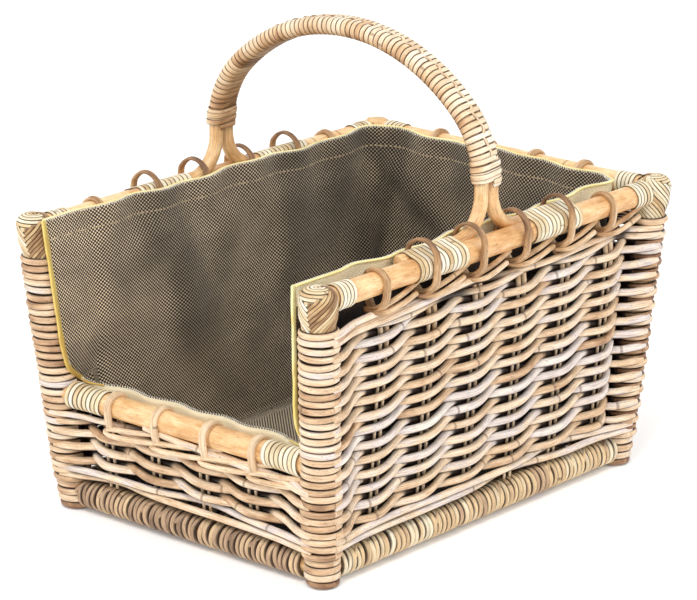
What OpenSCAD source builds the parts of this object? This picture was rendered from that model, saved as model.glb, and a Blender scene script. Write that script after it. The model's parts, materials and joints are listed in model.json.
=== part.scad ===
// Wicker log basket: four leaning cane posts, three high rails and a low front rail, woven walls
// and floor, a two-cane hoop handle lashed to the side rails, and a fabric liner.
// The origin is on the floor under the middle. X is right, Y is back, the open low side faces -Y.

/* [Body] */
// Width between the post centres at the floor
base_w = 373; // [320:1:460]
// Depth between the post centres at the floor
base_d = 516; // [460:1:600]
// Width between the post centres at the high rails
top_w = 420; // [380:1:500]
// Depth between the post centres at the high rails
top_d = 581; // [520:1:660]
// Height of the high rails' centres above the floor
rail_z = 330; // [300:1:380]
// Height of the low front rail's centre above the floor
front_z = 139; // [120:1:170]

/* [Canes] */
// Diameter of the four corner posts
post_dia = 30; // [26:0.5:32]
// Diameter of the rails
rail_dia = 26; // [22:0.5:28]
// Diameter of the canes at the foot of each wall
base_dia = 20; // [16:0.5:22]
// Diameter of one stake of a pair
stake_dia = 4.4; // [3.5:0.1:4.6]
// Distance between the two stakes of a pair
stake_pair = 9; // [7:0.5:12]
// Thickness of one weaving strand
strand_t = 8.4; // [7:0.1:8.6]

/* [Weave] */
// Distance between weaving rows
row_pitch = 17.2; // [17:0.1:20]
// Weaving rows on the high walls
high_rows = 14; // [10:1:14]
// Weaving rows on the low front wall
low_rows = 4; // [2:1:4]
// Distance between stake pairs on the side walls
side_pitch = 79; // [70:0.5:80]
// Distance between stake pairs on the back and front walls
end_pitch = 72; // [66:0.5:76]

/* [Handle] */
// Diameter of each of the two handle canes
handle_dia = 16.5; // [15:0.5:18]
// Height of the arch's springing line above the floor
spring_z = 395; // [390:1:410]
// Rise of the arch above the springing line
arch_rise = 147; // [140:1:155]
// Radius of the arch's side arcs
side_arc_r = 110; // [95:1:120]
// Radius of the bend from a handle leg onto its rail
leg_bend_r = 46; // [44:1:48]
// How far along the rail a handle leg reaches from the middle
leg_reach = 146; // [140:1:150]

/* [Liner] */
// Thickness of the liner cloth
liner_t = 2; // [1.5:0.1:3]
// Gap between the wall's middle plane and the liner at the floor
liner_gap_low = 20; // [19:1:26]
// Gap between the wall's middle plane and the liner at its top edge
liner_gap_high = 30; // [29:1:36]

/* [Hidden] */
$fn = 48;

// Cane colours
HONEY = [0.86, 0.62, 0.38];
CREAM = [0.94, 0.88, 0.76];
TAN = [0.84, 0.73, 0.58];
BROWN = [0.55, 0.43, 0.33];
CLOTH = [0.25, 0.23, 0.21];
HEM = [0.90, 0.82, 0.50];

// Clearance between separate pieces that lie against each other
CLEAR = 0.3;
// How far a cutting shape runs past what it cuts
PAST = 20;
// Thickness of the flat cane bound round one cane, round the arch, and twice round each fork
BIND_T = 1.6;
wrap_t = 2.2;
fork_t = 3.2;
// Height of the base canes' centres, so that their wrapping stays off the floor
base_z = 20.5;
// Outer radii of the round cane wound on the base canes and on the posts
base_wrap_r = 16.5;
foot_wrap_r = 18;
post_wrap_r = 23;
// Heights along a post where its winding starts, widens and ends
foot_wrap_lo = 3;
foot_wrap_hi = 37;
post_wrap_lo = 42;
post_wrap_hi = 298;
// A post's top and its corner binding
post_top_z = rail_z + 14;
corner_lo = 299;
corner_hi = 350;
corner_r = 20;
collar_len = 46;
// Where the weave starts above the floor
weave_lo = 41;
// Gap between a strand's end and the winding on its post
strand_gap = 2;
// Bindings at the ends of the low front rail
front_bind_len = 50;
// Handle legs lie on the inner upper side of the rails, with a scarfed flat towards them
leg_in = 12;
leg_up = 9;
leg_x = top_w / 2 - leg_in;
leg_z = rail_z + leg_up;
cane_y = handle_dia / 2 + CLEAR / 2;
// Loops over a bare rail and over a rail with a handle leg
loop_r = rail_dia / 2 + stake_dia / 2 + CLEAR;
leg_loop_r = 21.5;
leg_loop_in = 4.2;
leg_loop_up = 8;
// How far a loop runs straight below its rail's centre before it closes
loop_drop = 12.5;
// The low edge of the liner, its floor and its top edges
liner_floor = 40;
liner_top = rail_z + 15;
liner_front_top = front_z + 15;
hem_w = 16;

// How far each wall leans from upright
lean_side = atan((top_w - base_w) / 2 / rail_z);
lean_end = atan((top_d - base_d) / 2 / rail_z);

// Half the distance between post centres at a height, across and front to back
function half_w(z) = base_w / 2 + (top_w - base_w) / 2 * z / rail_z;
function half_d(z) = base_d / 2 + (top_d - base_d) / 2 * z / rail_z;
function post_at(sx, sy, z) = [sx * half_w(z), sy * half_d(z), z];
// Places of n things with a pitch, centred on nothing
function spread(n, pitch) = [for (i = [0:n - 1]) (i - (n - 1) / 2) * pitch];
side_stakes = spread(6, side_pitch);
end_stakes = spread(4, end_pitch);

// A straight round cane between two points
module cane(a, b, r) {
  v = b - a;
  len = norm(v);
  translate(a)
    rotate([0, acos(v[2] / len), atan2(v[1], v[0])])
      cylinder(h = len, r = r);
}

// Puts its children on the axis of a post, with Z along the post from the floor
module on_post(sx, sy) {
  v = post_at(sx, sy, rail_z) - post_at(sx, sy, 0);
  translate(post_at(sx, sy, 0))
    rotate([0, acos(v[2] / norm(v)), atan2(v[1], v[0])])
      children();
}

// Puts its children on a wall: X outwards, Y along the wall, Z up the wall
module on_wall(wall) {
  if (wall == "right")
    translate([base_w / 2, 0, 0]) rotate([0, lean_side, 0]) children();
  if (wall == "left")
    translate([-base_w / 2, 0, 0]) rotate([0, -lean_side, 0]) rotate([0, 0, 180]) children();
  if (wall == "back")
    translate([0, base_d / 2, 0]) rotate([-lean_end, 0, 0]) rotate([0, 0, 90]) children();
  if (wall == "front")
    translate([0, -base_d / 2, 0]) rotate([lean_end, 0, 0]) rotate([0, 0, -90]) children();
}

// ---- Posts, rails and base canes ----

module post(sx, sy) {
  color(HONEY) difference() {
    cane(post_at(sx, sy, -PAST), post_at(sx, sy, post_top_z), post_dia / 2);
    // Feet are cut flat on the floor
    translate([-top_w, -top_d, -2 * PAST]) cube([2 * top_w, 2 * top_d, 2 * PAST]);
  }
}

// A cane between two posts at one height, cut to the posts' round sides
module cross_cane(a, b, z, r, post_r) {
  difference() {
    cane(post_at(a[0], a[1], z), post_at(b[0], b[1], z), r);
    for (p = [a, b]) on_post(p[0], p[1]) cylinder(h = rail_z + PAST, r = post_r);
  }
}

module rail(a, b, z) {
  color(HONEY) cross_cane(a, b, z, rail_dia / 2, post_dia / 2 + CLEAR);
}

module base_rail(a, b) {
  color(HONEY) cross_cane(a, b, base_z, base_dia / 2, foot_wrap_r + CLEAR);
}

module base_wrap(a, b) {
  color(TAN) difference() {
    cross_cane(a, b, base_z, base_wrap_r, foot_wrap_r + 2 * CLEAR);
    cane(post_at(a[0], a[1], base_z), post_at(b[0], b[1], base_z), base_dia / 2 + CLEAR);
  }
}

// ---- Weaving ----

// One strand seen from above: out past one stake pair, in past the next
function strand_mid(stakes, side, reach, edge) = concat(
  [[-side * reach, -edge]],
  [for (i = [0:len(stakes) - 1], e = [-1, 1])
    [side * (i % 2 == 0 ? 1 : -1) * reach, stakes[i] + e * stake_pair]],
  [[side * (len(stakes) % 2 == 0 ? 1 : -1) * reach, edge]]
);

module strand(stakes, side, edge) {
  mid = strand_mid(stakes, side, stake_dia / 2 + CLEAR + strand_t / 2, edge);
  outline = concat(
    [for (p = mid) [p[0] + strand_t / 2, p[1]]],
    [for (i = [len(mid) - 1:-1:0]) [mid[i][0] - strand_t / 2, mid[i][1]]]
  );
  linear_extrude(strand_t) polygon(outline);
}

// Rows of two strands that change sides at each stake pair
module wall_weave(wall, rows, stakes, end_at_floor, end_gain) {
  color(TAN) on_wall(wall)
    for (row = [0:rows - 1], k = [0, 1]) {
      h = weave_lo + row * row_pitch + k * row_pitch / 2;
      edge = end_at_floor + end_gain * h - post_wrap_r - strand_gap;
      translate([0, 0, h]) strand(stakes, (row + k) % 2 == 0 ? 1 : -1, edge);
    }
}

module side_weave(wall) {
  wall_weave(wall, high_rows, side_stakes, base_d / 2, (top_d - base_d) / 2 / rail_z);
}

module end_weave(wall, rows) {
  wall_weave(wall, rows, end_stakes, base_w / 2, (top_w - base_w) / 2 / rail_z);
}

// A stake that ends in a loop over the rail; the loop's middle is shifted in and up over a leg
module looped_stake(rail_h, r, shift_in, shift_up) {
  foot = foot_wrap_hi + CLEAR;
  bottom = rail_h - loop_drop;
  translate([0, 0, foot]) cylinder(h = bottom - r - foot, d = stake_dia);
  translate([-shift_in, 0, 0]) {
    for (side = [-1, 1])
      translate([side * r, 0, bottom]) cylinder(h = loop_drop + shift_up, d = stake_dia);
    for (end = [[bottom, 180], [rail_h + shift_up, 0]])
      translate([0, 0, end[0]])
        rotate([90, 0, 0]) rotate([0, 0, end[1]])
          rotate_extrude(angle = 180) translate([r, 0]) circle(d = stake_dia);
  }
}

module wall_stakes(wall, rail_h, stakes, leg_loops) {
  color(BROWN) on_wall(wall)
    for (s = stakes, e = [-1, 1]) translate([0, s + e * stake_pair / 2, 0]) {
      over_leg = leg_loops && abs(s) < leg_reach;
      looped_stake(rail_h, over_leg ? leg_loop_r : loop_r,
                   over_leg ? leg_loop_in : 0, over_leg ? leg_loop_up : 0);
    }
}

// ---- Floor ----

floor_bar_pitch = 64;
floor_bars_at = spread(8, floor_bar_pitch);
floor_strand_pitch = 11;
floor_z = base_z + 6;
floor_gap = 1;

module floor_bars() {
  reach = half_w(floor_z) - base_wrap_r - floor_gap;
  color(HONEY)
    for (y = floor_bars_at, e = [-1, 1])
      translate([-reach, y + e * stake_pair / 2, floor_z])
        rotate([0, 90, 0]) cylinder(h = 2 * reach, d = stake_dia);
}

module floor_weave() {
  edge = half_d(floor_z) - base_wrap_r - floor_gap - CLEAR;
  count = floor((2 * half_w(floor_z) - 2 * base_wrap_r) / floor_strand_pitch) - 1;
  places = spread(count, floor_strand_pitch);
  color(TAN)
    for (i = [0:count - 1])
      translate([places[i] - strand_t / 2, 0, floor_z])
        rotate([0, 90, 0]) strand(floor_bars_at, i % 2 == 0 ? 1 : -1, edge);
}

// ---- Windings and bindings on the posts and the front rail ----

module post_wrap(sx, sy) {
  inner = post_dia / 2 + CLEAR;
  color(CREAM) difference() {
    on_post(sx, sy) rotate_extrude()
      polygon([
        [inner, foot_wrap_lo], [foot_wrap_r, foot_wrap_lo], [foot_wrap_r, post_wrap_lo],
        [post_wrap_r, post_wrap_lo], [post_wrap_r, post_wrap_hi], [inner, post_wrap_hi]
      ]);
    // The low front rail passes through the winding to its post
    if (sy < 0)
      cane(post_at(sx, sy, front_z), post_at(0, sy, front_z), rail_dia / 2 + CLEAR);
  }
}

// The laced cap over a post's top and the ends of the rails that meet there
module corner_binding(sx, sy) {
  rails = sy < 0 ? [[sx, -sy]] : [[sx, -sy], [-sx, sy]];
  top = post_at(sx, sy, rail_z);
  color(CREAM) difference() {
    union() {
      cane(post_at(sx, sy, corner_lo), post_at(sx, sy, corner_hi), corner_r);
      for (p = rails) {
        way = post_at(p[0], p[1], rail_z) - top;
        cane(top, top + way * collar_len / norm(way), rail_dia / 2 + BIND_T);
      }
    }
    cane(post_at(sx, sy, corner_lo - PAST), post_at(sx, sy, post_top_z + CLEAR),
         post_dia / 2 + CLEAR);
    for (p = rails) cane(top, post_at(p[0], p[1], rail_z), rail_dia / 2 + CLEAR);
  }
}

module front_rail_binding(sx) {
  outer = post_at(sx, -1, front_z);
  start = post_wrap_r + strand_gap;
  color(CREAM) difference() {
    cane(outer - [sx * start, 0, 0], outer - [sx * (start + front_bind_len), 0, 0],
         rail_dia / 2 + BIND_T);
    cane(outer, [0, outer[1], front_z], rail_dia / 2 + CLEAR / 2);
  }
}

// ---- Handle ----

// The arch is a flat middle arc between two tighter side arcs, tangent where they meet
arc_x = leg_x - side_arc_r;
mid_arc_r = (arc_x * arc_x + arch_rise * arch_rise - side_arc_r * side_arc_r)
            / (2 * (arch_rise - side_arc_r));
arc_drop = mid_arc_r - arch_rise;
side_angle = atan(arc_drop / arc_x);
fork_angle = 13;
bend_z = leg_z + leg_bend_r;

// Part of the arch swept between two angles, with its section drawn at the arc's radius
module side_arc(sx, from, to) {
  translate([sx * arc_x, 0, spring_z]) mirror([sx < 0 ? 1 : 0, 0, 0])
    rotate([90, 0, 0]) rotate([0, 0, from])
      rotate_extrude(angle = to - from) translate([side_arc_r, 0]) children();
}

module mid_arc(trim) {
  translate([0, 0, spring_z - arc_drop]) rotate([90, 0, 0]) rotate([0, 0, side_angle + trim])
    rotate_extrude(angle = 180 - 2 * (side_angle + trim)) translate([mid_arc_r, 0]) children();
}

// Outline round both canes at a distance, with two flat sides
module pair_outline(t) {
  r = handle_dia / 2 + t;
  square([2 * r, 2 * cane_y], center = true);
  for (e = [-1, 1]) translate([0, e * cane_y]) circle(r);
}

// Section of a binding that bridges the two canes
module pair_section(t) {
  difference() {
    pair_outline(t);
    pair_outline(CLEAR / 2);
  }
}

// Points of a handle cane's middle line on one side: along the rail, up the bend, round the arch
arc_steps = 7;
function half_route(sx, sy) = concat(
  [[sx * leg_x, sy * leg_reach, leg_z]],
  [for (i = [0:arc_steps]) let (a = 90 * i / arc_steps)
    [sx * leg_x, sy * (cane_y + leg_bend_r * (1 - sin(a))), bend_z - leg_bend_r * cos(a)]],
  [for (i = [0:arc_steps]) let (a = side_angle * i / arc_steps)
    [sx * (arc_x + side_arc_r * cos(a)), sy * cane_y, spring_z + side_arc_r * sin(a)]],
  [for (i = [1:arc_steps - 1]) let (a = side_angle + (90 - side_angle) * i / arc_steps)
    [sx * mid_arc_r * cos(a), sy * cane_y, spring_z - arc_drop + mid_arc_r * sin(a)]]
);
function backwards(list) = [for (i = [len(list) - 1:-1:0]) list[i]];
function handle_route(sy) = concat(
  half_route(1, sy),
  [[0, sy * cane_y, spring_z + arch_rise]],
  backwards(half_route(-1, sy))
);

function unit(v) = v / norm(v);
function heading(route, i) =
  unit(route[min(i + 1, len(route) - 1)] - route[max(i - 1, 0)]);
function carried(normal, t) = unit(normal - (normal * t) * t);

// A round tube along a route, carried without twist from a first sideways direction
module tube(route, r, sides, sideways) {
  last = len(route) - 1;
  normals = [
    for (i = 0, n = carried(sideways, heading(route, 0)); i <= last;
         i = i + 1, n = carried(n, heading(route, min(i, last)))) n
  ];
  rings = [
    for (i = [0:last], k = [0:sides - 1])
      let (n = normals[i], m = cross(heading(route, i), n), a = 360 * k / sides)
      route[i] + r * (cos(a) * n + sin(a) * m)
  ];
  polyhedron(
    points = rings,
    faces = concat(
      [[for (k = [0:sides - 1]) k]],
      [[for (k = [sides - 1:-1:0]) last * sides + k]],
      [for (i = [0:last - 1], k = [0:sides - 1])
        let (a = i * sides + k, b = i * sides + (k + 1) % sides)
        [a, a + sides, b + sides, b]]
    )
  );
}

// One cane from the leg on the right rail, over the arch, to the leg on the left rail
module handle_cane(sy) {
  color(HONEY) difference() {
    tube(handle_route(sy), handle_dia / 2, 20, [1, 0, 0]);
    // Each leg is scarfed to sit on its rail
    for (sx = [-1, 1])
      cane([sx * top_w / 2, -top_d / 2, rail_z], [sx * top_w / 2, top_d / 2, rail_z],
           rail_dia / 2 + CLEAR);
  }
}

// The flat cane wound round the arch is three strips, joined where the arcs meet
strip_trim = 0.1;
module handle_wrap_side(sx) {
  color(CREAM) side_arc(sx, fork_angle, side_angle - strip_trim) pair_section(wrap_t);
}

module handle_wrap_top() {
  color(CREAM) mid_arc(0) pair_section(wrap_t);
}

module fork_binding(sx) {
  color(CREAM) side_arc(sx, 0, fork_angle - strip_trim) pair_section(fork_t);
}

// Bare leg left at each end of its lashing
lash_gap = 4.5;

// Flat cane bound round a rail and the handle leg on it
module leg_lashing(sx, sy) {
  start = cane_y + leg_bend_r + lash_gap;
  len = leg_reach - start - lash_gap;
  color(CREAM) translate([0, sy * (start + len / 2), 0]) difference() {
    translate([0, len / 2, 0]) rotate([90, 0, 0]) linear_extrude(len) hull() {
      translate([sx * top_w / 2, rail_z]) circle(rail_dia / 2 + BIND_T);
      translate([sx * leg_x, leg_z]) circle(handle_dia / 2 + BIND_T);
    }
    cane([sx * top_w / 2, -len, rail_z], [sx * top_w / 2, len, rail_z], rail_dia / 2 + CLEAR);
    cane([sx * leg_x, -len, leg_z], [sx * leg_x, len, leg_z], handle_dia / 2 + CLEAR);
  }
}

// ---- Liner ----

// Half sizes of the liner's outer face at a height
function liner_gap(z) =
  liner_gap_low + (liner_gap_high - liner_gap_low) * (z - liner_floor) / (liner_top - liner_floor);
function liner_ring(z, inset) =
  let (x = half_w(z) - liner_gap(z) - inset, y = half_d(z) - liner_gap(z) - inset)
  [[-x, -y, z], [x, -y, z], [x, y, z], [-x, y, z]];

// A solid between two four-cornered outlines, one above the other
module block(low, high) {
  polyhedron(
    points = concat(low, high),
    faces = [
      [0, 1, 2, 3], [7, 6, 5, 4],
      [0, 4, 5, 1], [1, 5, 6, 2], [2, 6, 7, 3], [3, 7, 4, 0]
    ]
  );
}

module tray(z0, z1, inset) {
  block(liner_ring(z0, inset), liner_ring(z1, inset));
}

// Outline of a strip on a side cloth, between two distances behind the front post's axis
function strip_ring(z, inset, t, from, to) =
  let (out = half_w(z) - liner_gap(z) - inset, front = -half_d(z))
  [[out - t, front + from, z], [out, front + from, z], [out, front + to, z], [out - t, front + to, z]];

module side_strip(sx, z0, z1, inset, t, from, to) {
  mirror([sx < 0 ? 1 : 0, 0, 0])
    block(strip_ring(z0, inset, t, from, to), strip_ring(z1, inset, t, from, to));
}

// Above the low front cloth, the side cloths run on past the inner sides of the front posts
side_cloth_y = -half_d(liner_front_top) + liner_gap_high + 3;
// Cloth in front of the front posts' axes, and where that strip ends inside the side cloth
cloth_ahead = 8;
cloth_lap = 55;

module liner() {
  color(CLOTH) {
    difference() {
      tray(liner_floor, liner_top, 0);
      tray(liner_floor + liner_t, liner_top + PAST, liner_t);
      translate([-top_w / 2, -top_d / 2, liner_front_top])
        cube([top_w, top_d / 2 + side_cloth_y, rail_z]);
    }
    for (sx = [-1, 1])
      side_strip(sx, liner_front_top, liner_top, 0, liner_t, -cloth_ahead, cloth_lap);
  }
}

// The light strip sewn over the front edge of a side cloth
module liner_hem(sx) {
  color(HEM)
    side_strip(sx, liner_front_top + strand_gap, liner_top - strand_gap, liner_t + CLEAR / 2,
               liner_t, -cloth_ahead, hem_w - cloth_ahead);
}

FL = [-1, -1];
FR = [1, -1];
BL = [-1, 1];
BR = [1, 1];
high_side_h = rail_z / cos(lean_side);
high_end_h = rail_z / cos(lean_end);
low_end_h = front_z / cos(lean_end);

post(-1, -1);  // post_front_left
post(1, -1);  // post_front_right
post(-1, 1);  // post_back_left
post(1, 1);  // post_back_right
rail(FL, BL, rail_z);  // rail_left
rail(FR, BR, rail_z);  // rail_right
rail(BL, BR, rail_z);  // rail_back
rail(FL, FR, front_z);  // rail_front
base_rail(FL, BL);  // base_rail_left
base_rail(FR, BR);  // base_rail_right
base_rail(BL, BR);  // base_rail_back
base_rail(FL, FR);  // base_rail_front
base_wrap(FL, BL);  // base_wrap_left
base_wrap(FR, BR);  // base_wrap_right
base_wrap(BL, BR);  // base_wrap_back
base_wrap(FL, FR);  // base_wrap_front
floor_bars();
floor_weave();
wall_stakes("left", high_side_h, side_stakes, true);  // stakes_left
wall_stakes("right", high_side_h, side_stakes, true);  // stakes_right
wall_stakes("back", high_end_h, end_stakes, false);  // stakes_back
wall_stakes("front", low_end_h, end_stakes, false);  // stakes_front
side_weave("left");  // weave_left
side_weave("right");  // weave_right
end_weave("back", high_rows);  // weave_back
end_weave("front", low_rows);  // weave_front
post_wrap(-1, -1);  // post_wrap_front_left
post_wrap(1, -1);  // post_wrap_front_right
post_wrap(-1, 1);  // post_wrap_back_left
post_wrap(1, 1);  // post_wrap_back_right
corner_binding(-1, -1);  // corner_binding_front_left
corner_binding(1, -1);  // corner_binding_front_right
corner_binding(-1, 1);  // corner_binding_back_left
corner_binding(1, 1);  // corner_binding_back_right
front_rail_binding(-1);  // front_rail_binding_left
front_rail_binding(1);  // front_rail_binding_right
handle_cane(-1);  // handle_cane_front
handle_cane(1);  // handle_cane_back
handle_wrap_side(-1);  // handle_wrap_left
handle_wrap_side(1);  // handle_wrap_right
handle_wrap_top();
fork_binding(-1);  // fork_binding_left
fork_binding(1);  // fork_binding_right
leg_lashing(-1, -1);  // leg_lashing_front_left
leg_lashing(1, -1);  // leg_lashing_front_right
leg_lashing(-1, 1);  // leg_lashing_back_left
leg_lashing(1, 1);  // leg_lashing_back_right
liner();
liner_hem(-1);  // liner_hem_left
liner_hem(1);  // liner_hem_right
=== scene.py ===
"""Looks of the wicker log basket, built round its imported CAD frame. Lengths are in millimetres
until a mesh is made, and metres after that."""
import json
import math

import bpy
import numpy as np
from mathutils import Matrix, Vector


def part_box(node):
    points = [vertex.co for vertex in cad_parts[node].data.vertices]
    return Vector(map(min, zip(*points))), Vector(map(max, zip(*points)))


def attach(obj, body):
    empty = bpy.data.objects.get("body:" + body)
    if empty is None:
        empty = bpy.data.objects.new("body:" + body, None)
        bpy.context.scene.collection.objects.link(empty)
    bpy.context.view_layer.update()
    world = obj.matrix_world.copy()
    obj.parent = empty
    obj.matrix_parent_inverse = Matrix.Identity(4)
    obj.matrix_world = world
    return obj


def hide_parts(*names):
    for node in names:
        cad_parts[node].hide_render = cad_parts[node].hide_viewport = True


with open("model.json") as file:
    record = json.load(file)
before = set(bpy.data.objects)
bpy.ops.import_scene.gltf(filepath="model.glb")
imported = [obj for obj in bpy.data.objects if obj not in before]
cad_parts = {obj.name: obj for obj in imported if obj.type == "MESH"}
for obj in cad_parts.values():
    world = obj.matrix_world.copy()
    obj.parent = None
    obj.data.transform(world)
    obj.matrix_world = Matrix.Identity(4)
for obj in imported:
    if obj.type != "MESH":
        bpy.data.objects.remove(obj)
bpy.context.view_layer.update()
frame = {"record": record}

MM = 1000.0
X, Y, Z = np.eye(3)
rng = np.random.default_rng(41)


# ---- Sizes, from the frame ----

def span(node):
    """Lowest and highest corner of a CAD node, in millimetres."""
    lo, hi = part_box(node)
    return np.array(lo) * MM, np.array(hi) * MM


def middle(node):
    lo, hi = span(node)
    return (lo + hi) / 2


def radius(node):
    """Half the height of a level cane."""
    lo, hi = span(node)
    return (hi[2] - lo[2]) / 2


foot = next(m for m in frame["record"]["mounts"] if m["name"] == "foot_back_right")
base_x, base_y = foot["pos_m"][0] * MM, foot["pos_m"][1] * MM
rail_x, _, rail_z = middle("rail_right")
rail_y = middle("rail_back")[1]
front_z = middle("rail_front")[2]
base_z = middle("base_rail_right")[2]
rail_r, base_r, base_wrap_r = [radius(n) for n in ("rail_right", "base_rail_right", "base_wrap_right")]

POST_R = 15.0
HANDLE_R = 8.25
ARCH_DROP = 1.05  # keeps the strip along the handle's top inside the CAD's box
leg_x, leg_reach, arch_z = span("handle_cane_back")[1]
leg_x -= HANDLE_R
arch_z -= HANDLE_R + ARCH_DROP
leg_z = rail_z + 9


def half_w(z):
    return base_x + (rail_x - base_x) * z / rail_z


def half_d(z):
    return base_y + (rail_y - base_y) * z / rail_z


def post_at(sx, sy, z):
    """A point on the middle line of the post on sides sx and sy."""
    return np.array([sx * half_w(z), sy * half_d(z), z])


# ---- Small helpers ----

def unit(v):
    v = np.asarray(v, float)
    return v / np.maximum(np.linalg.norm(v, axis=-1, keepdims=True), 1e-9)


def smooth(x):
    """From 0 to 1 with a soft start and end, as x goes from 0 to 1."""
    x = np.clip(x, 0, 1)
    return x * x * (3 - 2 * x)


def spread(count, pitch):
    """Places at a pitch, half of them on each side of 0."""
    return [(i - (count - 1) / 2) * pitch for i in range(count)]


def around(count):
    """Angles round a full turn."""
    return np.linspace(0, 2 * np.pi, count, endpoint=False)


def distances(path):
    """How far along a path each of its points is."""
    return np.concatenate([[0], np.cumsum(np.linalg.norm(np.diff(path, axis=0), axis=1))])


def phase():
    """A random place in a wave."""
    return rng.uniform(0, 6.28)


def wander(s, wave, size):
    """A slow random drift along a cane."""
    total = 0
    for k in (1.0, 1.7, 2.9):
        total = total + np.sin(2 * np.pi * k * s / wave + phase()) / k
    return size * total / 1.9


# ---- Walls ----

ROW = 17.2  # from one row of twined rods to the next
ROD = 4.3  # half a rod's usual thickness
WEAVE_LO = 41  # foot of the weave
HIGH_ROWS, LOW_ROWS = 14, 4
SIDE_PITCH, END_PITCH = 79, 72  # from one pair of stakes to the next
STAKE_LEAN = 16  # how far along from its loop a stake's woven part stands


class Wall:
    """A wall's own axes: along it to the right as seen from outside, up its slope, and out."""

    def __init__(self, name, outwards, foot_out, top_out, length, rows, top_z, loops, rises):
        self.name = name
        self.along = np.cross([0, 0, 1], outwards).astype(float)
        lean = math.atan((top_out - foot_out) / rail_z)
        level = np.array(outwards, float)
        self.up = level * math.sin(lean) + Z * math.cos(lean)
        self.out = level * math.cos(lean) - Z * math.sin(lean)
        self.origin = level * foot_out
        self.lit = self.up * 0.8 + self.out * 0.6
        self.cos = math.cos(lean)
        self.length = length
        self.rows = rows
        self.high = rows > LOW_ROWS
        self.weave_top = WEAVE_LO + ROW * rows
        self.rail_h = top_z / self.cos
        self.loops = loops
        self.rises = rises
        self.stakes = [s + rises * STAKE_LEAN for s in loops]
        self.climb = ROD if self.high else 0.48 * ROD

    def at(self, s, h, d):
        s, h, d = np.broadcast_arrays(s, h, d)
        return self.origin + s[..., None] * self.along + h[..., None] * self.up + d[..., None] * self.out

    def reach(self, h):
        """Distance from the wall's middle to its posts."""
        return self.length(h * self.cos)

    def steps(self, h, step):
        """The reach at a height, and places from post to post."""
        reach = self.reach(h)
        return reach, np.linspace(-reach, reach, int(2 * reach / step))


side_loops, end_loops = spread(6, SIDE_PITCH), spread(4, END_PITCH)
WALLS = [
    Wall("right", (1, 0, 0), base_x, rail_x, half_d, HIGH_ROWS, rail_z, side_loops, 1),
    Wall("left", (-1, 0, 0), base_x, rail_x, half_d, HIGH_ROWS, rail_z, side_loops, -1),
    Wall("back", (0, 1, 0), base_y, rail_y, half_w, HIGH_ROWS, rail_z, end_loops, 1),
    Wall("front", (0, -1, 0), base_y, rail_y, half_w, LOW_ROWS, front_z, end_loops, -1),
]
CORNERS = {"front_left": (-1, -1), "front_right": (1, -1), "back_left": (-1, 1), "back_right": (1, 1)}
# The corners at the ends of each wall
WALL_ENDS = {"right": ((1, -1), (1, 1)), "left": ((-1, -1), (-1, 1)),
             "back": ((-1, 1), (1, 1)), "front": ((-1, -1), (1, -1))}


# ---- Meshes ----

def carried(tangent):
    """Sideways directions carried along a path without twist."""
    side = np.eye(3)[np.argmin(np.abs(tangent[0]))]
    out = np.empty_like(tangent)
    for i, t in enumerate(tangent):
        side = side - side.dot(t) * t
        side /= math.sqrt(side.dot(side))
        out[i] = side
    return out


def curve_through(points, step=3.0):
    """A smooth path through a few points."""
    p = np.asarray(points, float)
    p = np.vstack([2 * p[0] - p[1], p, 2 * p[-1] - p[-2]])
    out = []
    for a, b, c, d in zip(p[:-3], p[1:-2], p[2:-1], p[3:]):
        n = max(2, int(np.linalg.norm(c - b) / step))
        t = np.linspace(0, 1, n, endpoint=False)[:, None]
        out.append(0.5 * (2 * b + (c - a) * t + (2 * a - 5 * b + 4 * c - d) * t ** 2
                          + (3 * b - a - 3 * c + d) * t ** 3))
    return np.vstack(out + [p[-2:-1]])


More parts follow.
